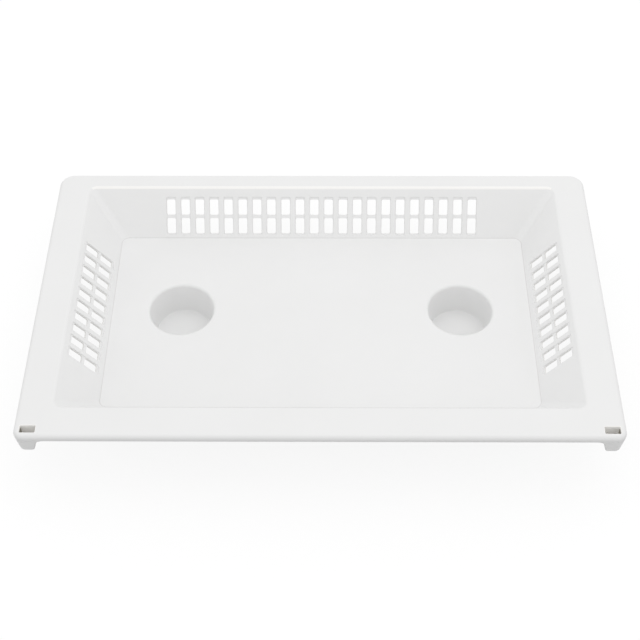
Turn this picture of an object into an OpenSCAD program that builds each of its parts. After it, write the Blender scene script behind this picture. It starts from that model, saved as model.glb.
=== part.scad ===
// Vented tray: a shallow drafted basin with a wide flat rim, slotted back and
// side walls, two round wells sunk below the floor and two slotted lugs under
// the front corners. Origin: centre of the footprint, z = 0 under the wells.
// X runs left to right, Y from front to back, Z up.

/* [Rim] */
// Overall width of the rim, left to right
rim_w = 530; // [480:1:600]
// Overall depth of the rim, front to back
rim_d = 325; // [300:1:380]
// Thickness of the flat rim
rim_t = 2.5; // [2:0.1:3.5]
// Width of the rim behind the basin
back_rail_w = 19.4; // [16:0.1:30]
// Width of the rim in front of the basin
front_rail_w = 31.8; // [26:0.1:45]
// Width of the rim beside the basin
side_rail_w = 31.2; // [26:0.1:45]
// Radius of the rim's back corners in plan
back_corner_r = 14; // [8:0.5:18]
// Radius of the rim's front corners in plan
front_corner_r = 9; // [7:0.5:14]

/* [Lip] */
// Radius of the rounded outer edge
nose_r = 4.4; // [4:0.1:6]
// Depth of the turned-down lip below the rim's top
lip_h = 6.5; // [6.5:0.1:12]

/* [Basin] */
// Depth of the basin, from the rim's top to the floor
basin_depth = 41.2; // [40:0.1:60]
// Thickness of the walls, measured level
wall_t = 3.6; // [2.4:0.1:4.2]
// Thickness of the floor
floor_t = 2.5; // [2:0.1:4]
// Slope of the left and right walls from the vertical
side_draft = 37.4; // [34:0.1:42]
// Slope of the back wall from the vertical
back_draft = 37; // [34:0.1:42]
// Slope of the front wall from the vertical
front_draft = 36; // [30:0.1:42]
// Radius between neighbouring walls
corner_r = 7.5; // [6:0.5:10]

/* [Wells] */
// Distance from the rim's side edge to the centre of the well beside it
well_from_side = 130; // [115:1:160]
// Distance from the rim's back edge to the wells' centres
well_from_back = 145.6; // [100:0.1:180]
// Radius of a well at its mouth
well_mouth_r = 31; // [25:0.1:40]
// Radius of a well at its floor
well_base_r = 27; // [20:0.1:36]
// Depth of a well below the basin's floor
well_depth = 33; // [20:0.5:45]
// Thickness of a well's wall
well_t = 2.5; // [2:0.1:4]
// Thickness of a well's floor
well_floor_t = 2.5; // [2:0.1:4]
// Radius of the rounded mouth
mouth_round = 3; // [1:0.1:4]
// Radius inside, between a well's wall and its floor
well_fillet = 1; // [0.5:0.1:5]
// Radius outside, under a well's edge
foot_round = 1.5; // [0.5:0.1:2]

/* [Grilles] */
// Width of a window
window_w = 8.8; // [5:0.1:10]
// Distance between neighbouring columns of windows
window_pitch = 14.5; // [12:0.1:18]
// Height of a window along the wall's slope
window_h = 15.6; // [10:0.1:16.5]
// Height of the bar between the two rows
bar_h = 3.4; // [2.6:0.1:6]
// Number of columns in the back wall
back_columns = 22; // [4:1:24]
// Number of columns in each side wall
side_columns = 10; // [2:1:12]
// Distance down the back wall from the rim's top to the windows
back_drop = 12.4; // [10:0.1:14]
// Distance down a side wall from the rim's top to the windows
side_drop = 9.3; // [7:0.1:14]
// Distance from the rim's back edge to the middle of a side grille
side_grille_setback = 159; // [140:0.5:180]
// Radius of a window's corners
window_r = 1.6; // [0.5:0.1:2.4]
// Depth of the channel that runs down each column, from the inside
channel_depth = 1.2; // [0.6:0.1:1.6]
// Length of the channel above the upper window
channel_above = 2.6; // [1:0.1:4]
// Length of the channel below the lower window
channel_below = 1.6; // [0.5:0.1:2]

/* [Lugs] */
// Length of a lug's slot at the rim, left to right
slot_w = 13.6; // [10:0.1:18]
// Width of a lug's slot, front to back
slot_d = 7.2; // [5:0.1:10]
// Depth of a lug's slot below the rim's top
slot_h = 14.5; // [9:0.1:16]
// Distance from the rim's side edge to the slot
slot_from_side = 5.7; // [5:0.1:9]
// Distance from the rim's front edge to the slot
slot_from_front = 5.2; // [4.5:0.1:9]
// Wall between the slot and the lug's inner side
lug_side_wall = 1.7; // [1.2:0.1:4]
// Wall behind the slot
lug_back_wall = 2.6; // [1.2:0.1:5]
// Thickness of a lug below its slot
lug_floor_t = 6; // [3:0.1:8]
// How far each side of a lug draws in from the lip to its foot
lug_taper = 4.3; // [2:0.1:5.5]
// Radius of a lug's lower corners
lug_round = 2.5; // [1:0.1:3]

/* [Hidden] */

white = [0.94, 0.94, 0.93];

// Levels, from the ground up
floor_top = well_floor_t + well_depth;
floor_under = floor_top - floor_t;
rim_top = floor_top + basin_depth;
rim_under = rim_top - rim_t;
lip_foot = rim_top - lip_h;
slot_foot = rim_top - slot_h;
lug_foot = slot_foot - lug_floor_t;

// Edges of the rim, and of its flat part inside the rounded edge
side_x = rim_w / 2;
back_y = rim_d / 2;
front_y = -rim_d / 2;
flat_x = side_x - nose_r;
flat_back = back_y - nose_r;
flat_front = front_y + nose_r;

// The basin's inner faces at level z, and the centres of its corner fillets
function basin_x(z) = side_x - side_rail_w - (rim_top - z) * tan(side_draft);
function basin_back(z) = back_y - back_rail_w - (rim_top - z) * tan(back_draft);
function basin_front(z) = front_y + front_rail_w + (rim_top - z) * tan(front_draft);
function centre_x(z) = basin_x(z) - corner_r;
function centre_back(z) = basin_back(z) - corner_r;
function centre_front(z) = basin_front(z) + corner_r;

arc_steps = 8;
small_steps = 3;
over = 1;                    // how far a cut runs past the face that it opens
far_through = 2 * wall_t;    // depth of a cut that goes right through a wall

function arc(x, y, r, from, to, steps) =
    [for (i = [0:steps]) let (a = from + (to - from) * i / steps)
        [x + r * cos(a), y + r * sin(a)]];

// Outline of the basin at level z, grown outwards
function basin_outline(z, grow) =
    let (x = centre_x(z), b = centre_back(z), f = centre_front(z), r = corner_r + grow)
    concat(arc(x, b, r, 0, 90, arc_steps), arc(-x, b, r, 90, 180, arc_steps),
           arc(-x, f, r, 180, 270, arc_steps), arc(x, f, r, 270, 360, arc_steps));

function rounded_box(w, h, r, steps) =
    let (x = w / 2 - r, y = h / 2 - r)
    concat(arc(x, y, r, 0, 90, steps), arc(-x, y, r, 90, 180, steps),
           arc(-x, -y, r, 180, 270, steps), arc(x, -y, r, 270, 360, steps));

// A solid between two outlines of as many points, at levels z0 and z1
module loft(low, high, z0, z1) {
    n = len(low);
    polyhedron(
        points = concat([for (p = low) [p[0], p[1], z0]], [for (p = high) [p[0], p[1], z1]]),
        faces = concat([[for (i = [0:n - 1]) i]], [[for (i = [n - 1:-1:0]) n + i]],
                       [for (i = [0:n - 1]) [i, n + i, n + (i + 1) % n, (i + 1) % n]]),
        convexity = 4);
}

// Everything inside the basin's faces, grown outwards, between levels z0 and z1
module basin_space(z0, z1, grow) {
    loft(basin_outline(z0, grow), basin_outline(z1, grow), z0, z1);
}

module both_sides() {
    children();
    mirror([1, 0, 0]) children();
}

module box_between(x0, x1, y0, y1, z0, z1) {
    translate([x0, y0, z0]) cube([x1 - x0, y1 - y0, z1 - z0]);
}

// An upright section, x across and y the level, run back from y0 to y1
module run_back(y0, y1) {
    translate([0, y1, 0]) rotate([90, 0, 0]) linear_extrude(y1 - y0) children();
}

// ---- Rim ----

// The rim's plan, drawn in from its outer edge
module rim_plan(inset) {
    x = side_x - inset;
    b = back_y - inset;
    f = front_y + inset;
    rb = back_corner_r - inset;
    rf = front_corner_r - inset;
    polygon(concat(arc(x - rb, b - rb, rb, 0, 90, arc_steps),
                   arc(rb - x, b - rb, rb, 90, 180, arc_steps),
                   arc(rf - x, f + rf, rf, 180, 270, arc_steps),
                   arc(x - rf, f + rf, rf, 270, 360, arc_steps)));
}

// The rim's plan as a slab between two levels
module rim_slab(inset, z0, z1) {
    translate([0, 0, z0]) linear_extrude(z1 - z0) rim_plan(inset);
}

// The flat rim between the given edges, stopping clear of the basin's inner face
module rim_part(x0, x1, y0, y1, clear) {
    color(white)
    difference() {
        intersection() {
            rim_slab(nose_r, rim_under, rim_top);
            box_between(x0, x1, y0, y1, rim_under, rim_top);
        }
        basin_space(rim_under - over, rim_top + over, clear);
    }
}

module back_rail() {
    rim_part(-centre_x(rim_top), centre_x(rim_top), 0, flat_back, wall_t);
}

module front_rail() {
    rim_part(-centre_x(rim_top), centre_x(rim_top), flat_front, 0, wall_t);
}

module right_rail() {
    rim_part(0, flat_x, centre_front(rim_top), centre_back(rim_top), wall_t);
}

module left_rail() {
    mirror([1, 0, 0]) right_rail();
}

// The wall between two straight walls: a quarter ring at every level, made
// as a slice with its point at the fillet's centre, hollowed by the basin
module corner_wall(back) {
    function slice(z) =
        let (x = centre_x(z), y = back ? centre_back(z) : centre_front(z),
             from = back ? 0 : 270)
        concat([[x, y]], arc(x, y, corner_r + wall_t, from, from + 90, arc_steps));
    difference() {
        loft(slice(floor_top), slice(rim_top), floor_top, rim_top);
        basin_space(floor_top - over, rim_top + over, 0);
    }
}

module back_right_corner() {
    color(white) {
        corner_wall(true);
        rim_part(centre_x(rim_top), flat_x, centre_back(rim_top), flat_back, 0);
    }
}

module back_left_corner() {
    mirror([1, 0, 0]) back_right_corner();
}

module front_right_corner() {
    color(white) {
        corner_wall(false);
        difference() {
            rim_part(centre_x(rim_top), flat_x, flat_front, centre_front(rim_top), 0);
            lug_slot();
        }
    }
}

module front_left_corner() {
    mirror([1, 0, 0]) front_right_corner();
}

// ---- Lip ----

// Section of the rounded edge and the lip under it: x is the distance in from
// the rim's outer edge, y the level
function lip_section() =
    concat(arc(nose_r, rim_top - nose_r, nose_r, 90, 180, arc_steps),
           [[0, lip_foot], [rim_t, lip_foot]],
           arc(nose_r, rim_top - nose_r, nose_r - rim_t, 180, 90, arc_steps));

// A straight run of lip whose outer face is the plane x = 0, from y0 to y1
module lip_run(y0, y1) {
    run_back(y0, y1) polygon(lip_section());
}

// A quarter turn of lip about the origin, outer radius r, in the corner +x +y
module lip_turn(r) {
    rotate_extrude(angle = 90, $fn = 64)
        polygon([for (p = lip_section()) [r - p[0], p[1]]]);
}

module right_lip() {
    color(white)
    difference() {
        translate([side_x, 0, 0]) mirror([1, 0, 0])
            lip_run(front_y + front_corner_r, back_y - back_corner_r);
        lug_slot();
    }
}

module left_lip() {
    mirror([1, 0, 0]) right_lip();
}

// Half of a lip along the back, with its corner, for a rim edge at y = edge
module half_end_lip(edge, r) {
    translate([side_x - r, edge - r, 0]) lip_turn(r);
    translate([0, edge, 0]) rotate([0, 0, -90]) lip_run(0, side_x - r);
}

module back_lip() {
    color(white)
    both_sides() half_end_lip(back_y, back_corner_r);
}

module front_lip() {
    color(white)
    difference() {
        mirror([0, 1, 0]) both_sides() half_end_lip(-front_y, front_corner_r);
        both_sides() lug_slot();
    }
}

// ---- Lugs ----

slot_x = side_x - slot_from_side - slot_w / 2;
slot_y = front_y + slot_from_front + slot_d / 2;
lug_inner = slot_x - slot_w / 2 - lug_side_wall;
lug_back = slot_y + slot_d / 2 + lug_back_wall;

// The slot: upright ends down to the foot of the lip, then as steep as the lug's
module lug_slot() {
    half = slot_w / 2;
    lean = lug_taper * (lip_foot - slot_foot) / (lip_foot - lug_foot);
    run_back(slot_y - slot_d / 2, slot_y + slot_d / 2)
        translate([slot_x, 0])
        polygon([[-half, rim_top + over], [-half, lip_foot], [lean - half, slot_foot],
                 [half - lean, slot_foot], [half, lip_foot], [half, rim_top + over]]);
}

// Front view of a lug under the lip: x across, y the level
function lug_section() =
    let (foot_inner = lug_inner + lug_taper + lug_round,
         foot_outer = side_x - lug_taper - lug_round,
         foot_level = lug_foot + lug_round)
    concat([[side_x, lip_foot]],
           arc(foot_outer, foot_level, lug_round, -30, -90, small_steps),
           arc(foot_inner, foot_level, lug_round, -90, -150, small_steps),
           [[lug_inner, lip_foot]]);

// The lug hangs under the lip and fills the corner that the lip wraps round
module right_lug() {
    color(white)
    difference() {
        union() {
            intersection() {
                run_back(front_y, lug_back) polygon(lug_section());
                rim_slab(0, lug_foot, lip_foot);
            }
            intersection() {
                box_between(lug_inner, side_x, front_y, lug_back, lip_foot, rim_under);
                rim_slab(rim_t, lip_foot, rim_under);
            }
        }
        lug_slot();
        front_lip();
        right_lip();
    }
}

module left_lug() {
    mirror([1, 0, 0]) right_lug();
}

// ---- Walls ----

// One column of windows: the channel on the inside and a window in each row.
// The origin is on the wall's inner face at the rim's top, z up the slope and
// y out through the wall
module column(drop) {
    channel_h = channel_above + 2 * window_h + bar_h + channel_below;
    panel(window_w, channel_h, -drop + channel_above, channel_depth);
    panel(window_w, window_h, -drop, far_through);
    panel(window_w, window_h, -drop - window_h - bar_h, far_through);
}

// A round-cornered cutter, its top at the given height, from inside the basin
// to the given depth in the wall
module panel(w, h, top, depth) {
    translate([0, depth, top - h / 2]) rotate([90, 0, 0]) linear_extrude(depth + over)
        polygon(rounded_box(w, h, window_r, small_steps));
}

module grille(columns, drop) {
    for (i = [0:columns - 1])
        translate([(i - (columns - 1) / 2) * window_pitch, 0, 0]) column(drop);
}

module back_wall() {
    function strip(z) =
        let (x = centre_x(z), y = basin_back(z))
        [[-x, y], [x, y], [x, y + wall_t], [-x, y + wall_t]];
    color(white)
    difference() {
        loft(strip(floor_top), strip(rim_top), floor_top, rim_top);
        translate([0, basin_back(rim_top), rim_top]) rotate([-back_draft, 0, 0])
            grille(back_columns, back_drop);
    }
}

module front_wall() {
    function strip(z) =
        let (x = centre_x(z), y = basin_front(z))
        [[-x, y - wall_t], [x, y - wall_t], [x, y], [-x, y]];
    color(white)
    loft(strip(floor_top), strip(rim_top), floor_top, rim_top);
}

module right_wall() {
    function strip(z) =
        let (x = basin_x(z), f = centre_front(z), b = centre_back(z))
        [[x, f], [x + wall_t, f], [x + wall_t, b], [x, b]];
    color(white)
    difference() {
        loft(strip(floor_top), strip(rim_top), floor_top, rim_top);
        translate([basin_x(rim_top), back_y - side_grille_setback, rim_top])
            rotate([0, 0, -90]) rotate([-side_draft, 0, 0])
            grille(side_columns, side_drop);
    }
}

module left_wall() {
    mirror([1, 0, 0]) right_wall();
}

// ---- Floor and wells ----

well_x = side_x - well_from_side;
well_y = back_y - well_from_back;
collar_r = well_mouth_r + mouth_round + well_t;

module floor_panel() {
    color(white)
    difference() {
        loft(basin_outline(floor_under, wall_t), basin_outline(floor_top, wall_t),
             floor_under, floor_top);
        both_sides() translate([well_x, well_y, floor_under - over])
            cylinder(h = floor_t + 2 * over, r = collar_r, $fn = 96);
    }
}

// Section of a well: x is the radius, y the level
function well_section() =
    let (lean = atan((well_mouth_r - well_base_r) / well_depth),
         mouth_z = floor_top - mouth_round,
         tangent_z = mouth_z + mouth_round * sin(180 - lean),
         slope_r = well_base_r + (tangent_z - well_floor_t) * tan(lean),
         mouth_x = slope_r - mouth_round * cos(180 - lean),
         fillet_z = well_floor_t + well_fillet,
         bottom_z = fillet_z - well_fillet * sin(lean),
         bottom_r = well_base_r + (bottom_z - well_floor_t) * tan(lean),
         fillet_x = bottom_r - well_fillet * cos(lean),
         out_base = well_base_r - well_floor_t * tan(lean) + well_t / cos(lean),
         out_top = out_base + floor_under * tan(lean))
    concat([[0, well_floor_t]],
           arc(fillet_x, fillet_z, well_fillet, -90, -lean, small_steps),
           arc(mouth_x, mouth_z, mouth_round, 180 - lean, 90, small_steps),
           [[collar_r, floor_top], [collar_r, floor_under], [out_top, floor_under]],
           arc(out_base - foot_round, foot_round, foot_round, -lean, -90, small_steps),
           [[0, 0]]);

module right_well() {
    color(white)
    translate([well_x, well_y, 0]) rotate_extrude($fn = 96) polygon(well_section());
}

module left_well() {
    mirror([1, 0, 0]) right_well();
}

back_rail();
front_rail();
left_rail();
right_rail();
back_left_corner();
back_right_corner();
front_left_corner();
front_right_corner();
back_lip();
front_lip();
left_lip();
right_lip();
left_lug();
right_lug();
back_wall();
front_wall();
left_wall();
right_wall();
floor_panel();
left_well();
right_well();
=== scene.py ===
"""Vented tray: the moulded shell, its plastics, a pale floor, the light and the camera.

Lengths in this file are millimetres until mesh_object() turns them into metres.
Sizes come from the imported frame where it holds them. The rest are named here.
"""

from collections import defaultdict
from math import atan, cos, pi, radians, sin, sqrt, tan

import bmesh
import bpy
import numpy as np
from mathutils import Matrix, Vector
from mathutils.geometry import tessellate_polygon


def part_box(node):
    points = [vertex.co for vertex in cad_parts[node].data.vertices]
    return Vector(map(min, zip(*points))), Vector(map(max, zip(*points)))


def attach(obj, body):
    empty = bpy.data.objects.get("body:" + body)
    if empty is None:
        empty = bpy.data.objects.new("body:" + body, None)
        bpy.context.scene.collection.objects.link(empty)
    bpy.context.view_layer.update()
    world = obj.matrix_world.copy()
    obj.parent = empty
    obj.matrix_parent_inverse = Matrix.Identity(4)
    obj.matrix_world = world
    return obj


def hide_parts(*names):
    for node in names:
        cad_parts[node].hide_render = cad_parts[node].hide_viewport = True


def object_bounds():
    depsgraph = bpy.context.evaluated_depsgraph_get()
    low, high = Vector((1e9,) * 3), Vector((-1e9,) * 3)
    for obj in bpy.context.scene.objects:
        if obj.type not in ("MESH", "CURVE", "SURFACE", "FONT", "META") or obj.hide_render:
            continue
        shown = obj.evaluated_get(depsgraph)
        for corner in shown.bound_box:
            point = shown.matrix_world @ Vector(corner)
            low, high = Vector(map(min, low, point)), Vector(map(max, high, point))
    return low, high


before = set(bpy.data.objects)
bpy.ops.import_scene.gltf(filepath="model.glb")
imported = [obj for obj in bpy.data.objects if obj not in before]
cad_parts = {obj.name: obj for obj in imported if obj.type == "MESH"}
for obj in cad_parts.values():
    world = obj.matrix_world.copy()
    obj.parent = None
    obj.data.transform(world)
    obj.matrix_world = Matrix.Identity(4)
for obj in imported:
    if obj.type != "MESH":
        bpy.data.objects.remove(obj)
CAD_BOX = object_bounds()
MM = 0.001

# ---- Sizes that the frame doesn't hold, in mm and degrees ----

WALL_T = 3.6              # wall thickness, measured level
EDGE_R = 3.5              # rounding between the rim and the walls
CREASE_R = 0.9            # rounding between the walls and the floor
UNDER_R = 1.0             # rounding under the rim, against the walls
FLOOR_EDGE_R = 2.5        # rounding under the floor's edge
LIP_FOOT_R = 0.5          # rounding along the lip's lower edges

WINDOW_W = 8.7            # window in the wall
CHANNEL_W = 9.0           # channel that runs down each column of windows
WINDOW_PITCH = 14.5
WINDOW_H = 15.6
BAR_H = 3.4               # bar between the upper and the lower window
WINDOW_R = 1.6            # corners of a window or channel
CHANNEL_DEPTH = 1.2
CHANNEL_ABOVE = 2.6       # how far a channel runs past its windows, above and below
CHANNEL_BELOW = 1.6
WINDOW_EDGE_R = 0.3       # rounding round a window's outer edge and at a channel's ends
CHANNEL_EDGE_R = 1.1      # rounding along a channel's sides
BACK_COLUMNS, SIDE_COLUMNS = 22, 10
BACK_DROP, SIDE_DROP = 12.4, 9.3       # from the rim's top down the wall to the windows
SIDE_GRILLE_Y = 3.5       # middle of a side grille

WELL_T = 2.5              # thickness of a well's wall and of its floor
WELL_FLOOR_T = 2.5
WELL_MOUTH_R, WELL_BASE_R = 31.0, 27.0
MOUTH_ROUND = 3.0         # rounding at a well's mouth
WELL_FILLET = 1.0         # rounding at the bottom, inside
FOOT_ROUND = 1.5          # roundings outside, at the floor and at the foot

SLOT_W, SLOT_D = 13.6, 7.2
SLOT_DEPTH = 14.5
SLOT_FROM_SIDE, SLOT_FROM_FRONT = 5.7, 5.2
SLOT_R = 0.8              # corners of a slot
SLOT_EDGE_R = 0.7         # rounding round a slot's edge
RECESS_TOP_W, RECESS_W = 0.6, 1.65     # past a slot's outer end, at the rim and lower down
RECESS_INTO_SLOT = 1.6    # how far the recess's cutter reaches into the slot
RECESS_R = 0.2            # corners of the recess
RECESS_H = 7.5
RECESS_FROM_FRONT = 1.9   # from the slot's front face
LUG_TAPER = 4.3           # how far each side of a lug draws in from the lip to its foot
LUG_FLARE = 4.2           # hollow rounding between a lug's inner side and the lip
LUG_ROUND = 3.2           # rounding along a lug's foot
LUG_SIDE_R = 1.5          # a lug's upright edges away from the rim's corner

BACK_CORNER_R, FRONT_CORNER_R = 14.0, 9.0
# The back corners' rim edge carries a painted highlight from this angle on.
PAINTED_HIGHLIGHT_FROM = radians(45)  # where the back corners' paler rim edge starts, round from the side

CORNER_STEPS = 16
FILLET_STEPS = 5
WINDOW_STEPS = 4
ROUND_STEPS = 96

CLEAR = 0.002             # keeps a cutter's faces off the faces it cuts

# ---- Sizes from the frame ----


def box_mm(node):
    low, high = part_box(node)
    return low / MM, high / MM


rim_low, rim_high = (corner / MM for corner in CAD_BOX)
side_x, back_y, rim_top = rim_high
front_y = rim_low.y
floor_under, floor_top = (corner.z for corner in box_mm("floor_panel"))
rim_under = box_mm("right_rail")[0].z
rim_t = rim_top - rim_under
flat_x = box_mm("right_rail")[1].x
nose_r = side_x - flat_x
lip_foot = box_mm("right_lip")[0].z
basin_depth = rim_top - floor_top

side_low, side_high = box_mm("right_wall")
back_low, back_high = box_mm("back_wall")
front_low, front_high = box_mm("front_wall")
corner_r = side_high.x - WALL_T - back_high.x
centre_top = {"x": back_high.x, "back": side_high.y, "front": side_low.y}
slope = {
    "x": (side_high.x - WALL_T - side_low.x) / basin_depth,
    "back": (back_high.y - WALL_T - back_low.y) / basin_depth,
    "front": (front_high.y - WALL_T - front_low.y) / basin_depth,
}


# ---- Outlines and sections ----


def fillet(corner, leg_a, leg_b, radius, steps=FILLET_STEPS):
    """Points of the arc that rounds a corner, from one leg to the other."""
    corner = Vector(corner)
    a, b = Vector(leg_a).normalized(), Vector(leg_b).normalized()
    half = a.angle(b) / 2
    centre = corner + (a + b).normalized() * radius / sin(half)
    first = corner + a * radius / tan(half) - centre
    last = corner + b * radius / tan(half) - centre
    turn = pi - 2 * half
    return [
        centre + (first * sin((1 - i / steps) * turn) + last * sin(i / steps * turn)) / sin(turn)
        for i in range(steps + 1)
    ]


def arc(centre, radius, start, end, steps):
    """Points of an arc in the plane, angles in degrees."""
    angles = np.radians(np.linspace(start, end, steps + 1))
    return [Vector((centre[0] + radius * cos(a), centre[1] + radius * sin(a))) for a in angles]


def rounded_box(x0, x1, y0, y1, radii, steps):
    """A box with round corners, from the one at (x1, y1) round to the one at (x1, y0)."""
    a, b, c, d = radii
    return (
        arc((x1 - a, y1 - a), a, 0, 90, steps)
        + arc((x0 + b, y1 - b), b, 90, 180, steps)
        + arc((x0 + c, y0 + c), c, 180, 270, steps)
        + arc((x1 - d, y0 + d), d, 270, 360, steps)
    )


def at_level(outline, z):
    return [Vector((p.x, p.y, z)) for p in outline]


def mirrored(points):
    return [Vector((-p.x, p.y, p.z)) for p in points]


# A hole's rounded edge, for a radius of 1: how much wider the hole is, and how deep, step by step
ROUNDING = [(1 - sin(a), 1 - cos(a)) for a in np.radians(np.linspace(0, 90, WINDOW_STEPS))]


# ---- Pieces ----

# The second finish is painted light and a painted highlight; the third is painted shade in the
# crease.
PLAIN_FINISH, PAINTED_LIGHT_FINISH, PAINTED_CREASE_SHADE_FINISH = range(3)


class Piece:
    """A closed mesh, in mm. A seam is a face that lies against another piece.

    finish is the number of the finish that new faces take.
    """

    def __init__(self, name):
        self.name = name
        self.finish = PLAIN_FINISH
        self.points, self.faces, self.seams, self.finishes = [], [], [], []

    def row(self, points):
        """Adds points and gives their numbers."""
        start = len(self.points)
        self.points += points
        return list(range(start, len(self.points)))

    def face(self, corners, seam=False):
        self.faces.append(corners)
        self.seams.append(seam)
        self.finishes.append(self.finish)

    def strip(self, a, b, closed=False, seam=False):
        """A band of quads between two rows of as many points."""
        for i in range(len(a) - 1 + closed):
            j = (i + 1) % len(a)
            self.face([a[i], a[j], b[j], b[i]], seam)

    def rings(self, rings):
        """Bands between closed rings, one after the other."""
        for a, b in zip(rings, rings[1:]):
            self.strip(a, b, closed=True)

    def fill(self, outline, holes=(), seam=False):
        """A flat face with holes, as triangles."""
        loops = [outline, *holes]
        numbers = [i for loop in loops for i in loop]
        places = [[self.points[i] for i in loop] for loop in loops]
        for corners in tessellate_polygon(places):
            self.face([numbers[k] for k in corners], seam)

    def loft(self, sections, seams=()):
        """A tube through sections of as many points, with seams at its ends.

        seams are the edges of a section, by their first point, that lie against
        another piece.
        """
        rows = [self.row(section) for section in sections]
        count = len(rows[0])
        for a, b in zip(rows, rows[1:]):
            for i in range(count):
                j = (i + 1) % count
                self.face([a[i], a[j], b[j], b[i]], i in seams)
        self.fill(rows[0], seam=True)
        self.fill(rows[-1], seam=True)

    def mirror(self, name):
        other = Piece(name)
        other.points = mirrored(self.points)
        other.faces, other.seams, other.finishes = self.faces, self.seams, self.finishes
        return other


# ---- Walls and rim ----


def wall_section(lean):
    """Section of a wall whose inner face moves out by lean for each mm up.

    Distances are outwards from the inner face's meeting with the rim's top. The
    parts run down the inside and up the outside.
    """
    down, up = (-lean, -1), (lean, 1)
    foot = -lean * basin_depth
    return {
        "seat": [Vector((WALL_T, rim_top))],
        "edge": fillet((0, rim_top), (1, 0), down, EDGE_R),
        "crease": fillet((foot, floor_top), up, (-1, 0), CREASE_R),
        "foot": [Vector((foot + WALL_T, floor_top))],
        "under": fillet((WALL_T - lean * rim_t, rim_under), down, (1, 0), UNDER_R),
    }


def floor_section(lean):
    """Section of the floor's outer edge, from the wall's outside to the underside."""
    corner = (WALL_T - lean * (rim_top - floor_under), floor_under)
    return fillet(corner, (lean, 1), (-1, 0), FLOOR_EDGE_R)


def corner_centre(end, z):
    """Centre of the round between a side wall and an end wall, on the right."""
    sign = 1 if end == "back" else -1
    drop = rim_top - z
    return centre_top["x"] - slope["x"] * drop, centre_top[end] - sign * slope[end] * drop


def lean_at(end, turn):
    return slope["x"] * cos(turn) + slope[end] * sin(turn)


def set_out(end, turn, section):
    """Places a section's points, turn radians round from the side wall."""
    sign = 1 if end == "back" else -1
    placed = []
    for u, z in section:
        x, y = corner_centre(end, z)
        reach = corner_r + u + lean_at(end, turn) * (rim_top - z)
        placed.append(Vector((x + reach * cos(turn), y + sign * reach * sin(turn), z)))
    return placed


TURNS = [radians(90) * i / CORNER_STEPS for i in range(CORNER_STEPS + 1)]

# Where each part of wall_section() starts among its points, and where the last one ends
SEAT = 0
EDGE = 1
CREASE = EDGE + FILLET_STEPS + 1
FOOT = CREASE + FILLET_STEPS + 1
UNDER = FOOT + 1
LAST = UNDER + FILLET_STEPS


def section_finish(i, painted_highlight):
    """Finish of the face that follows a section's point. A section with a painted highlight has a
    paler rim edge; the crease is darker with painted shade.
    """
    if painted_highlight and EDGE <= i < CREASE - 1:
        return PAINTED_LIGHT_FINISH
    return PAINTED_CREASE_SHADE_FINISH if CREASE <= i < FOOT - 1 else PLAIN_FINISH


def wall_loop(end, turn):
    """A wall's whole section, set out round the basin."""
    parts = wall_section(lean_at(end, turn))
    return set_out(end, turn, [point for part in parts.values() for point in part])


def wall(name, first, last, panel=None, painted_highlight=False):
    """A wall between two section loops. panel cuts its two flat faces."""
    piece = Piece(name)
    a, b = piece.row(first), piece.row(last)
    inner_flat, outer_flat = CREASE - 1, FOOT
    for i in range(LAST + 1):
        j = (i + 1) % (LAST + 1)
        if panel and i in (inner_flat, outer_flat):
            continue
        piece.finish = section_finish(i, painted_highlight)
        piece.face([a[i], a[j], b[j], b[i]], seam=i in (FOOT - 1, LAST))
    piece.finish = PLAIN_FINISH
    piece.fill(a, seam=True)
    piece.fill(b, seam=True)
    if panel:
        inner = [a[inner_flat], a[inner_flat + 1], b[inner_flat + 1], b[inner_flat]]
        outer = [a[outer_flat], a[outer_flat + 1], b[outer_flat + 1], b[outer_flat]]
        panel(piece, inner, outer)
    return piece


def grille(origin, along, tilt, columns, drop):
    """Cuts columns of two windows, each column in a channel, through a wall.

    origin is the middle of the wall's inner face at the rim's top, along is the
    wall's direction, and tilt its slope from the upright.
    """
    along = Vector(along)
    level = along.cross((0, 0, 1))
    down = Vector((0, 0, -1)) * cos(tilt) - level * sin(tilt)
    out = level * cos(tilt) - Vector((0, 0, 1)) * sin(tilt)
    through = WALL_T * cos(tilt)
    lower = drop + WINDOW_H + BAR_H
    channel = (drop - CHANNEL_ABOVE, lower + WINDOW_H + CHANNEL_BELOW, CHANNEL_W)

    def ring(piece, middle, top, bottom, width, depth, aside=0, beyond=0):
        """Outline of a hole at a depth, made larger aside and beyond its ends."""
        half = width / 2 + aside
        outline = rounded_box(
            middle - half, middle + half, top - beyond, bottom + beyond,
            [WINDOW_R] * 4, WINDOW_STEPS,
        )
        return piece.row([origin + along * p.x + down * p.y + out * depth for p in outline])

    def cut(piece, inner_outline, outer_outline):
        inner_holes, outer_holes = [], []
        for i in range(columns):
            middle = (i - (columns - 1) / 2) * WINDOW_PITCH
            rings = []
            for grow, sunk in ROUNDING:
                aside, beyond = CHANNEL_EDGE_R * grow, WINDOW_EDGE_R * grow
                rings.append(ring(piece, middle, *channel, CHANNEL_EDGE_R * sunk, aside, beyond))
            rings.append(ring(piece, middle, *channel, CHANNEL_DEPTH))
            piece.rings(rings)
            inner_holes.append(rings[0])
            windows = []
            # The sides of the windows take painted light: a paler tone for light that the thin
            # wall lets through.
            piece.finish = PAINTED_LIGHT_FINISH
            for top in (drop, lower):
                window = (top, top + WINDOW_H, WINDOW_W)
                rings_out = [ring(piece, middle, *window, CHANNEL_DEPTH)]
                for grow, sunk in reversed(ROUNDING):
                    depth, wider = through - WINDOW_EDGE_R * sunk, WINDOW_EDGE_R * grow
                    rings_out.append(ring(piece, middle, *window, depth, wider, wider))
                piece.rings(rings_out)
                windows.append(rings_out[0])
                outer_holes.append(rings_out[-1])
            piece.finish = PLAIN_FINISH
            piece.fill(rings[-1], windows)
        piece.fill(inner_outline, inner_holes)
        piece.fill(outer_outline, outer_holes)

    return cut


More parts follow.
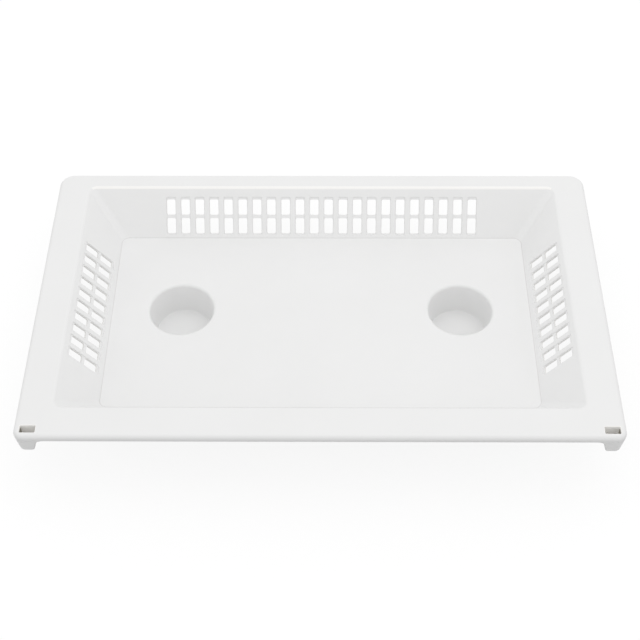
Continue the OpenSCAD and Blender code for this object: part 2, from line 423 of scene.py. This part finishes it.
def flat_path(end, z):
    """The flat rim's outer edge at a corner, from the side rail to the end rail."""
    radius = BACK_CORNER_R if end == "back" else FRONT_CORNER_R
    sign = 1 if end == "back" else -1
    edge = sign * (back_y - nose_r)
    x, y = corner_centre(end, z)
    centre = (side_x - radius, edge + sign * (nose_r - radius))
    turn = arc(centre, radius - nose_r, 0, sign * 90, CORNER_STEPS)
    return at_level([Vector((flat_x, y)), *turn, Vector((x, edge))], z)


def corner(name, end):
    """A corner: the wall's quarter ring and the flat rim round it."""
    piece = Piece(name)
    rows = [piece.row(wall_loop(end, turn)) for turn in TURNS]
    for turn, a, b in zip(TURNS, rows, rows[1:]):
        # The back corners' rim edge takes the painted highlight towards the back wall.
        painted_highlight = end == "back" and turn > PAINTED_HIGHLIGHT_FROM
        for i in range(LAST):
            piece.finish = section_finish(i, painted_highlight)
            piece.face([a[i], a[i + 1], b[i + 1], b[i]], seam=i == FOOT - 1)
    piece.finish = PLAIN_FINISH
    top = piece.row(flat_path(end, rim_top))
    under = piece.row(flat_path(end, rim_under))
    piece.strip(top, under, seam=True)
    for row, i in ((rows[0], 0), (rows[-1], -1)):
        piece.fill([top[i], *row, under[i]], seam=True)
    piece.fill([row[SEAT] for row in rows] + top[::-1])
    piece.fill([row[LAST] for row in rows] + under[::-1])
    return piece


def rail(name, first, last, edge_of):
    """A straight stretch of flat rim between two section loops."""
    sections = []
    for loop in (first, last):
        seat, under = loop[SEAT], loop[LAST]
        sections.append([seat, edge_of(seat), edge_of(under), under])
    piece = Piece(name)
    piece.loft(sections, seams=(1, 3))
    return piece


def side_edge(point):
    return Vector((flat_x, point.y, point.z))


def back_edge(point):
    return Vector((point.x, back_y - nose_r, point.z))


def front_edge(point):
    return Vector((point.x, front_y + nose_r, point.z))


# ---- Lips ----


def lip_section():
    """Section of the rounded edge and lip: the distance in from the rim's edge, and the level."""
    heart = (nose_r, rim_top - nose_r)
    return (
        arc(heart, nose_r, 90, 180, 2 * FILLET_STEPS)
        + fillet((0, lip_foot), (0, 1), (1, 0), LIP_FOOT_R)
        + fillet((rim_t, lip_foot), (-1, 0), (0, 1), LIP_FOOT_R)
        + arc(heart, nose_r - rim_t, 180, 90, FILLET_STEPS)
    )


def lip_at(centre, radius, angle):
    """The lip's section where the rim's edge is radius from centre, towards angle degrees."""
    way = Vector((cos(radians(angle)), sin(radians(angle))))
    placed = []
    for inset, z in lip_section():
        spot = Vector(centre) + way * (radius - inset)
        placed.append(Vector((spot.x, spot.y, z)))
    return placed


def end_lip(name, sign, edge, radius):
    """The lip along the back or the front, with its two corners."""
    right = [
        lip_at((side_x - radius, edge - sign * radius), radius, sign * angle)
        for angle in np.linspace(0, 90, CORNER_STEPS + 1)
    ]
    left = [mirrored(section) for section in reversed(right)]
    piece = Piece(name)
    piece.loft(right + left, seams=(len(right[0]) - 1,))
    return piece


def side_lip(name):
    sections = [
        lip_at((side_x - nose_r, y), nose_r, 0)
        for y in (front_y + FRONT_CORNER_R, back_y - BACK_CORNER_R)
    ]
    piece = Piece(name)
    piece.loft(sections, seams=(len(sections[0]) - 1,))
    return piece


# ---- Lugs and their slots ----

lug_low, lug_high = box_mm("right_lug")


def taper_at(z):
    """How far a lug's sides have drawn in at a level under the lip."""
    return LUG_TAPER * max(0, lip_foot - z) / (lip_foot - lug_low.z)


slot_x1 = side_x - SLOT_FROM_SIDE
slot_y0 = front_y + SLOT_FROM_FRONT


def slot_ring(piece, z, grow=0):
    """Outline of the slot in the right lug. Its inner end leans with the lug's side."""
    outline = rounded_box(
        slot_x1 - SLOT_W + taper_at(z) - grow, slot_x1 + grow,
        slot_y0 - grow, slot_y0 + SLOT_D + grow, [SLOT_R + grow] * 4, WINDOW_STEPS,
    )
    return piece.row(at_level(outline, z))


def slot_cutter():
    """The space of the right slot, flared at the rim's top."""
    piece = Piece("slot_cutter")
    rings = [slot_ring(piece, rim_top + SLOT_EDGE_R, SLOT_EDGE_R)]
    rings += [
        slot_ring(piece, rim_top + CLEAR - SLOT_EDGE_R * sunk, SLOT_EDGE_R * grow)
        for grow, sunk in ROUNDING
    ]
    rings += [slot_ring(piece, z) for z in (lip_foot, rim_top - SLOT_DEPTH)]
    piece.rings(rings)
    piece.fill(rings[0])
    piece.fill(rings[-1])
    return piece


def recess_cutter():
    """The space under the rim at the right slot's outer end."""
    piece = Piece("recess_cutter")
    shoulder = rim_top - nose_r - CLEAR
    rings = []
    for z, reach in (
        (rim_under - CLEAR, RECESS_TOP_W), (shoulder, RECESS_W), (rim_under - RECESS_H, RECESS_W),
    ):
        outline = rounded_box(
            slot_x1 - RECESS_INTO_SLOT, slot_x1 + reach,
            slot_y0 + RECESS_FROM_FRONT, slot_y0 + SLOT_D - RECESS_R,
            [RECESS_R] * 4, WINDOW_STEPS,
        )
        rings.append(piece.row(at_level(outline, z)))
    piece.rings(rings)
    piece.fill(rings[0])
    piece.fill(rings[-1])
    return piece


def lug_ring(piece, z, sides, ends, in_lip=0):
    """Outline of the right lug, drawn in at its sides, at its ends and within the lip.

    Its inner side flares out to the lip's foot and stays so above it, up to the rim.
    """
    fall = min(1, (lip_foot - z) / LUG_FLARE) if z < lip_foot else 0
    flare = LUG_FLARE * (1 - sqrt(1 - (1 - fall) ** 2))
    outline = rounded_box(
        lug_low.x + sides - flare, side_x - sides - in_lip,
        front_y + ends + in_lip, lug_high.y - ends,
        [LUG_SIDE_R, LUG_SIDE_R, LUG_SIDE_R, max(FRONT_CORNER_R - sides - in_lip, LUG_SIDE_R)],
        CORNER_STEPS,
    )
    # Every ring has a point where the part inside the lip turns its back and inner corners
    turn = rim_t + LUG_SIDE_R
    after_back, before_inner = outline[CORNER_STEPS], outline[2 * (CORNER_STEPS + 1)]
    outline.insert(
        2 * (CORNER_STEPS + 1),
        Vector((before_inner.x, max(before_inner.y, front_y + turn + ends))),
    )
    outline.insert(
        CORNER_STEPS + 1, Vector((min(after_back.x, side_x - turn - sides), after_back.y)),
    )
    return piece.row(at_level(outline, z))


def lug(name):
    """A lug: it fills the corner inside the lip and tapers to a foot below it."""
    piece = Piece(name)
    inner_r = nose_r - rim_t
    tops = [
        lug_ring(piece, rim_top - nose_r + inner_r * sin(a), 0, 0, nose_r - inner_r * cos(a))
        for a in np.radians(np.linspace(90, 0, FILLET_STEPS + 1))
    ]
    falls = np.linspace(0, LUG_FLARE, FILLET_STEPS + 1)
    ledge = [lug_ring(piece, lip_foot, 0, 0, rim_t)]
    ledge += [lug_ring(piece, lip_foot - fall, taper_at(lip_foot - fall), 0) for fall in falls]
    foot = fillet((LUG_TAPER, lug_low.z), (-LUG_TAPER, lip_foot - lug_low.z), (1, 0), LUG_ROUND)
    lower = [lug_ring(piece, z, sides, sides - taper_at(z)) for sides, z in foot]
    piece.rings(tops + ledge + lower)
    piece.fill(lower[-1])
    piece.fill(tops[0], seam=True)
    return piece


# ---- Floor and wells ----

well_low, well_high = box_mm("right_well")
well_centre = (well_low + well_high) / 2
collar_r = (well_high.x - well_low.x) / 2
well_lean = (WELL_MOUTH_R - WELL_BASE_R) / (floor_top - WELL_FLOOR_T)


def circle(radius, z, sign=1):
    """A ring round a well's axis, on the right for sign 1."""
    angles = [2 * pi * i / ROUND_STEPS for i in range(ROUND_STEPS)]
    x, y = sign * well_centre.x, well_centre.y
    return [Vector((x + sign * radius * cos(a), y + radius * sin(a), z)) for a in angles]


def well(name):
    """A round well, with a collar that is flush with the floor."""
    down, up = (-well_lean, -1), (well_lean, 1)
    outer_r = WELL_BASE_R + WELL_T * sqrt(1 + well_lean**2) - WELL_FLOOR_T * well_lean
    joint = (outer_r + floor_under * well_lean, floor_under)
    inside = [
        *fillet((WELL_BASE_R, WELL_FLOOR_T), (-1, 0), up, WELL_FILLET, CORNER_STEPS),
        *fillet((WELL_MOUTH_R, floor_top), down, (1, 0), MOUTH_ROUND, CORNER_STEPS),
        Vector((collar_r, floor_top)),
    ]
    outside = [
        Vector((collar_r, floor_under)),
        *fillet(joint, (1, 0), down, FOOT_ROUND),
        *fillet((outer_r, 0), up, (-1, 0), FOOT_ROUND),
    ]
    piece = Piece(name)
    inner_rings = [piece.row(circle(radius, z)) for radius, z in inside]
    outer_rings = [piece.row(circle(radius, z)) for radius, z in outside]
    piece.rings(inner_rings)
    piece.rings(outer_rings)
    piece.strip(inner_rings[-1], outer_rings[0], closed=True, seam=True)
    piece.fill(inner_rings[0])
    piece.fill(outer_rings[-1])
    return piece


def round_basin(section_at):
    """Loops round the basin, one for each point of the section that section_at gives."""
    back, front = (
        [set_out(end, turn, section_at(lean_at(end, turn))) for turn in TURNS]
        for end in ("back", "front")
    )
    left_back = [mirrored(section) for section in reversed(back)]
    left_front = [mirrored(section) for section in front]
    stations = back + left_back + left_front + front[::-1]
    return [list(loop) for loop in zip(*stations)]


def floor_panel(name):
    """The floor, from the foot of the walls inwards, open at the two wells."""
    piece = Piece(name)
    inner = round_basin(lambda lean: wall_section(lean)["crease"][-1:])
    outer = round_basin(lambda lean: wall_section(lean)["foot"] + floor_section(lean))
    inner_row = piece.row(inner[0])
    outer_rows = [piece.row(loop) for loop in outer]
    piece.strip(inner_row, outer_rows[0], closed=True, seam=True)
    piece.rings(outer_rows)
    top_holes = [piece.row(circle(collar_r, floor_top, sign)) for sign in (1, -1)]
    under_holes = [piece.row(circle(collar_r, floor_under, sign)) for sign in (1, -1)]
    for a, b in zip(top_holes, under_holes):
        piece.strip(a, b, closed=True, seam=True)
    piece.fill(inner_row, top_holes)
    piece.fill(outer_rows[-1], under_holes)
    return piece


# ---- The whole shell ----


def make_pieces():
    """The shell's pieces. Those on the left mirror those on the right."""
    side_back, side_front = wall_loop("back", 0), wall_loop("front", 0)
    back_end, front_end = wall_loop("back", pi / 2), wall_loop("front", pi / 2)
    side_grille = grille(
        Vector((side_high.x - WALL_T, SIDE_GRILLE_Y, rim_top)), (0, 1, 0),
        atan(slope["x"]), SIDE_COLUMNS, SIDE_DROP,
    )
    back_grille = grille(
        Vector((0, back_high.y - WALL_T, rim_top)), (-1, 0, 0),
        atan(slope["back"]), BACK_COLUMNS, BACK_DROP,
    )
    right = [
        corner("back_right_corner", "back"),
        corner("front_right_corner", "front"),
        wall("right_wall", side_front, side_back, side_grille),
        rail("right_rail", side_front, side_back, side_edge),
        side_lip("right_lip"),
        lug("right_lug"),
        well("right_well"),
    ]
    single = [
        # The back wall's rim edge takes a painted highlight.
        wall("back_wall", back_end, mirrored(back_end), back_grille, painted_highlight=True),
        wall("front_wall", front_end, mirrored(front_end)),
        rail("back_rail", back_end, mirrored(back_end), back_edge),
        rail("front_rail", front_end, mirrored(front_end), front_edge),
        end_lip("back_lip", 1, back_y, BACK_CORNER_R),
        end_lip("front_lip", -1, front_y, FRONT_CORNER_R),
        floor_panel("floor_panel"),
    ]
    left = [piece.mirror(piece.name.replace("right", "left")) for piece in right]
    return right + left + single


# ---- Meshes ----

WELD = 1e-6               # points nearer than this, in metres, are one point
SMOOTH_BELOW = radians(40)   # faces that meet at less than this are shaded as one


def mesh_object(piece, name):
    bm = bmesh.new()
    seam = bm.faces.layers.int.new("seam")
    verts = [bm.verts.new(point * MM) for point in piece.points]
    for corners, is_seam, finish in zip(piece.faces, piece.seams, piece.finishes):
        face = bm.faces.new([verts[i] for i in corners])
        face[seam] = is_seam
        face.material_index = finish
    bmesh.ops.remove_doubles(bm, verts=bm.verts, dist=WELD)
    bmesh.ops.recalc_face_normals(bm, faces=bm.faces)
    mesh = bpy.data.meshes.new(name)
    bm.to_mesh(mesh)
    bm.free()
    obj = bpy.data.objects.new(name, mesh)
    bpy.context.scene.collection.objects.link(obj)
    return obj


def shell_object(piece):
    """A piece of the shell, which replaces the node of its name."""
    obj = mesh_object(piece, piece.name + "_shell")
    for material in finishes:
        obj.data.materials.append(material)
    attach(obj, "root")
    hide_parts(piece.name)
    return obj


def cut_slots(objects):
    """Cuts the slots and their recesses through every piece that they meet."""
    for side in ("right", "left"):
        lug_name = f"{side}_lug_shell"
        rim_names = [f"front_{side}_corner_shell", "front_lip_shell"]
        for cutter, material, met in (
            # Painted light: the slot's sides take the paler plastic.
            (slot_cutter(), painted_light_plastic, [*rim_names, lug_name]),
            # Painted shade: the recess's sides take the dark plastic.
            (recess_cutter(), painted_recess_shade_plastic, [lug_name]),
        ):
            if side == "left":
                cutter = cutter.mirror(cutter.name)
            tool = mesh_object(cutter, cutter.name)
            tool.data.materials.append(material)
            for obj in objects:
                if obj.name in met:
                    cut = obj.modifiers.new("cut", "BOOLEAN")
                    cut.operation, cut.solver, cut.object = "DIFFERENCE", "EXACT", tool
                    cut.material_mode = "TRANSFER"
                    graph = bpy.context.evaluated_depsgraph_get()
                    mesh = bpy.data.meshes.new_from_object(obj.evaluated_get(graph))
                    obj.modifiers.remove(cut)
                    obj.data = mesh
            bpy.data.objects.remove(tool)


def place_key(co):
    """The same for points of two pieces that meet.

    The third keeps round sizes away from the values where the rounding turns.
    """
    return tuple(round(value / (2 * WELD) + 1 / 3) for value in co)


def smooth_together(objects):
    """Gives the pieces the normals of one unbroken shell, so that no seam shows."""
    around = defaultdict(list)
    for obj in objects:
        mesh = obj.data
        seams = mesh.attributes["seam"].data
        for face, seam in zip(mesh.polygons, seams):
            if not seam.value:
                for i in face.vertices:
                    around[place_key(mesh.vertices[i].co)].append((face.normal.copy(), face.area))
    least = cos(SMOOTH_BELOW)
    for obj in objects:
        mesh = obj.data
        normals = []
        for face, seam in zip(mesh.polygons, mesh.attributes["seam"].data):
            for i in face.vertices:
                normal = face.normal
                if not seam.value:
                    near = around[place_key(mesh.vertices[i].co)]
                    alike = (n * area for n, area in near if n.dot(face.normal) > least)
                    normal = sum(alike, Vector())
                normals.append(normal.normalized())
        mesh.normals_split_custom_set(normals)
        mesh.attributes.remove(mesh.attributes["seam"])


# ---- Materials ----

# Two tones of each plastic, which a slow noise mixes. The paler tones are painted light on the
# sides of windows and slots, standing in for light that thin plastic lets through, and a painted
# highlight on the back rim's edge. The crease round the floor and the recesses are darker with
# painted shade.
PLAIN_TONES = (0.87, 0.87, 0.867, 1), (0.885, 0.885, 0.883, 1)
PAINTED_LIGHT_TONES = (0.97, 0.96, 0.94, 1), (0.98, 0.97, 0.95, 1)
# Painted shade in the crease round the floor.
PAINTED_CREASE_SHADE_TONES = (0.74, 0.735, 0.73, 1), (0.78, 0.775, 0.77, 1)
# Painted shade in the recesses at the slots' outer ends.
PAINTED_RECESS_SHADE_TONES = (0.5, 0.48, 0.43, 1), (0.56, 0.54, 0.49, 1)

# Scale and detail of each noise
TONE_NOISE = 14, 3
GLOSS_NOISE = 60, 4
GRAIN_NOISE = 2500, 2
WAVE_NOISE = 18, 1
RECESS_NOISE = 300, 2

NOISE_LOW, NOISE_HIGH = 0.3, 0.7       # the part of a noise's range that is used
PLASTIC_IOR = 1.5
ROUGHNESS = 0.36, 0.46
GRAIN_HEIGHT, WAVE_HEIGHT = 0.00002, 0.0004   # in metres
BUMP_STRENGTH = 0.5
RECESS_ROUGHNESS = 0.8


def new_material(name):
    """A material, its nodes, their links and its shader."""
    material = bpy.data.materials.new(name)
    material.use_nodes = True
    nodes = material.node_tree.nodes
    return material, nodes, material.node_tree.links, nodes["Principled BSDF"]


def add_noise(nodes, links, scale, detail):
    """A noise that keeps its place on the piece."""
    node = nodes.new("ShaderNodeTexNoise")
    node.inputs["Scale"].default_value = scale
    node.inputs["Detail"].default_value = detail
    links.new(nodes.new("ShaderNodeTexCoord").outputs["Object"], node.inputs["Vector"])
    return node.outputs["Fac"]


def add_tones(nodes, links, tones, factor, shader):
    """Mixes two tones into the shader's colour."""
    mix = nodes.new("ShaderNodeMix")
    mix.data_type = "RGBA"
    mix.inputs["A"].default_value, mix.inputs["B"].default_value = tones
    links.new(factor, mix.inputs["Factor"])
    links.new(mix.outputs["Result"], shader.inputs["Base Color"])


def white_plastic(name, tones):
    """Satin white moulded plastic: a fine grain, a slow waviness and a little uneven tone."""
    material, nodes, links, shader = new_material(name)
    shader.inputs["IOR"].default_value = PLASTIC_IOR

    def spread(value, low, high):
        node = nodes.new("ShaderNodeMapRange")
        node.inputs["From Min"].default_value = NOISE_LOW
        node.inputs["From Max"].default_value = NOISE_HIGH
        node.inputs["To Min"].default_value = low
        node.inputs["To Max"].default_value = high
        links.new(value, node.inputs["Value"])
        return node.outputs["Result"]

    def bump(height, noise):
        node = nodes.new("ShaderNodeBump")
        node.inputs["Distance"].default_value = height
        node.inputs["Strength"].default_value = BUMP_STRENGTH
        links.new(add_noise(nodes, links, *noise), node.inputs["Height"])
        return node

    add_tones(nodes, links, tones, spread(add_noise(nodes, links, *TONE_NOISE), 0, 1), shader)
    gloss = spread(add_noise(nodes, links, *GLOSS_NOISE), *ROUGHNESS)
    links.new(gloss, shader.inputs["Roughness"])
    grain, wave = bump(GRAIN_HEIGHT, GRAIN_NOISE), bump(WAVE_HEIGHT, WAVE_NOISE)
    links.new(grain.outputs["Normal"], wave.inputs["Normal"])
    links.new(wave.outputs["Normal"], shader.inputs["Normal"])
    return material


def painted_recess_shade():
    """Painted shade: plastic darkened to stand for the shade in the recess at a slot's outer end.
    """
    material, nodes, links, shader = new_material("painted_recess_shade")
    shader.inputs["Roughness"].default_value = RECESS_ROUGHNESS
    add_tones(nodes, links, PAINTED_RECESS_SHADE_TONES, add_noise(nodes, links, *RECESS_NOISE), shader)
    return material


# ---- Floor, light and camera ----

WHITE = (1, 1, 1, 1)
FLOOR_HALF = 4            # half the floor's width, in metres
FLOOR_TONE = (0.44, 0.44, 0.44, 1)     # what the light meets, so what the floor throws back
FLOOR_SHOWN = (0.16, 0.16, 0.16, 1)    # where the floor is seen directly: how deep its shadow is
FLOOR_LIFT = 0.86         # brings the floor up to white there
FLOOR_ROUGHNESS = 0.9
WORLD_LEVEL = 0.85        # the background as a light. It is shown as plain white.

# The lamp over the tray, in metres and watts
LAMP_PLACE, LAMP_TARGET = (0.3, 0.3, 2.2), (0, 0, 0.05)
LAMP_SIZE = 2.0
LAMP_POWER = 7

# The photograph's camera: where it stood, in metres, how it was turned, in degrees, and its lens
CAMERA_PLACE = (0.00901, -0.79462, 0.99115)
CAMERA_YAW, CAMERA_DOWN, CAMERA_ROLL = -0.703, 50.132, -0.443
CAMERA_LENS, CAMERA_SENSOR = 72.67, 36
CAMERA_CLIP = 0.01, 50


def seen_directly(nodes, links):
    """1 for the camera's rays and for reflections and refractions, 0 for the light's."""
    rays = nodes.new("ShaderNodeLightPath").outputs
    seen = rays["Is Camera Ray"]
    for kind in ("Is Glossy Ray", "Is Transmission Ray"):
        either = nodes.new("ShaderNodeMath")
        either.operation = "MAXIMUM"
        links.new(seen, either.inputs[0])
        links.new(rays[kind], either.inputs[1])
        seen = either.outputs[0]
    return seen


def make_floor():
    mesh = bpy.data.meshes.new("floor")
    corners = [
        (x * FLOOR_HALF, y * FLOOR_HALF, 0) for x, y in ((-1, -1), (1, -1), (1, 1), (-1, 1))
    ]
    mesh.from_pydata(corners, [], [(0, 1, 2, 3)])
    floor = bpy.data.objects.new("floor", mesh)
    bpy.context.scene.collection.objects.link(floor)
    material, nodes, links, lit = new_material("floor_white")
    lit.inputs["Base Color"].default_value = FLOOR_TONE
    shown = nodes.new("ShaderNodeBsdfPrincipled")
    shown.inputs["Base Color"].default_value = FLOOR_SHOWN
    shown.inputs["Emission Color"].default_value = WHITE
    shown.inputs["Emission Strength"].default_value = FLOOR_LIFT
    for shader in (lit, shown):
        shader.inputs["Roughness"].default_value = FLOOR_ROUGHNESS
        shader.inputs["Specular IOR Level"].default_value = 0
    either = nodes.new("ShaderNodeMixShader")
    links.new(seen_directly(nodes, links), either.inputs[0])
    links.new(lit.outputs[0], either.inputs[1])
    links.new(shown.outputs[0], either.inputs[2])
    links.new(either.outputs[0], nodes["Material Output"].inputs["Surface"])
    mesh.materials.append(material)


def make_world():
    world = bpy.data.worlds.new("studio")
    bpy.context.scene.world = world
    world.use_nodes = True
    nodes, links = world.node_tree.nodes, world.node_tree.links
    background = nodes["Background"]
    background.inputs["Color"].default_value = WHITE
    seen = seen_directly(nodes, links)
    strength = nodes.new("ShaderNodeMapRange")
    strength.inputs["To Min"].default_value = WORLD_LEVEL
    strength.inputs["To Max"].default_value = 1
    links.new(seen, strength.inputs["Value"])
    links.new(strength.outputs["Result"], background.inputs["Strength"])


def make_lamp():
    data = bpy.data.lights.new("top", "AREA")
    data.shape = "SQUARE"
    data.size = LAMP_SIZE
    data.energy = LAMP_POWER
    lamp = bpy.data.objects.new("top", data)
    lamp.location = LAMP_PLACE
    ray = Vector(LAMP_TARGET) - Vector(LAMP_PLACE)
    lamp.rotation_euler = ray.to_track_quat("-Z", "Y").to_euler()
    bpy.context.scene.collection.objects.link(lamp)


def make_camera():
    yaw, down, roll = radians(CAMERA_YAW), radians(CAMERA_DOWN), radians(CAMERA_ROLL)
    ahead = Vector((sin(yaw) * cos(down), cos(yaw) * cos(down), -sin(down)))
    level = Vector((cos(yaw), -sin(yaw), 0))
    upright = level.cross(ahead)
    right = level * cos(roll) + upright * sin(roll)
    up = upright * cos(roll) - level * sin(roll)
    data = bpy.data.cameras.new("camera")
    data.sensor_width = CAMERA_SENSOR
    data.lens = CAMERA_LENS
    data.clip_start, data.clip_end = CAMERA_CLIP
    camera = bpy.data.objects.new("camera", data)
    turned = Matrix((right, up, -ahead)).transposed().to_4x4()
    camera.matrix_world = Matrix.Translation(CAMERA_PLACE) @ turned
    bpy.context.scene.collection.objects.link(camera)
    bpy.context.scene.camera = camera


# ---- The scene ----

plain_plastic = white_plastic("tray_plastic", PLAIN_TONES)
# Paler tones: painted light on thin sides and a painted highlight on the back rim's edge.
painted_light_plastic = white_plastic("tray_plastic_painted_light", PAINTED_LIGHT_TONES)
# Darker tones: painted shade in the crease round the floor.
painted_crease_shade_plastic = white_plastic("tray_plastic_painted_crease_shade", PAINTED_CREASE_SHADE_TONES)
# Painted shade in the recesses at the slots' outer ends.
painted_recess_shade_plastic = painted_recess_shade()
finishes = (plain_plastic, painted_light_plastic, painted_crease_shade_plastic)   # in the order of PLAIN_FINISH and so on
pieces = [shell_object(piece) for piece in make_pieces()]
cut_slots(pieces)
smooth_together(pieces)
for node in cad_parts.values():
    node.data.materials.clear()
    node.data.materials.append(plain_plastic)

make_floor()
make_world()
make_lamp()
make_camera()
bpy.context.scene.view_settings.view_transform = "Standard"
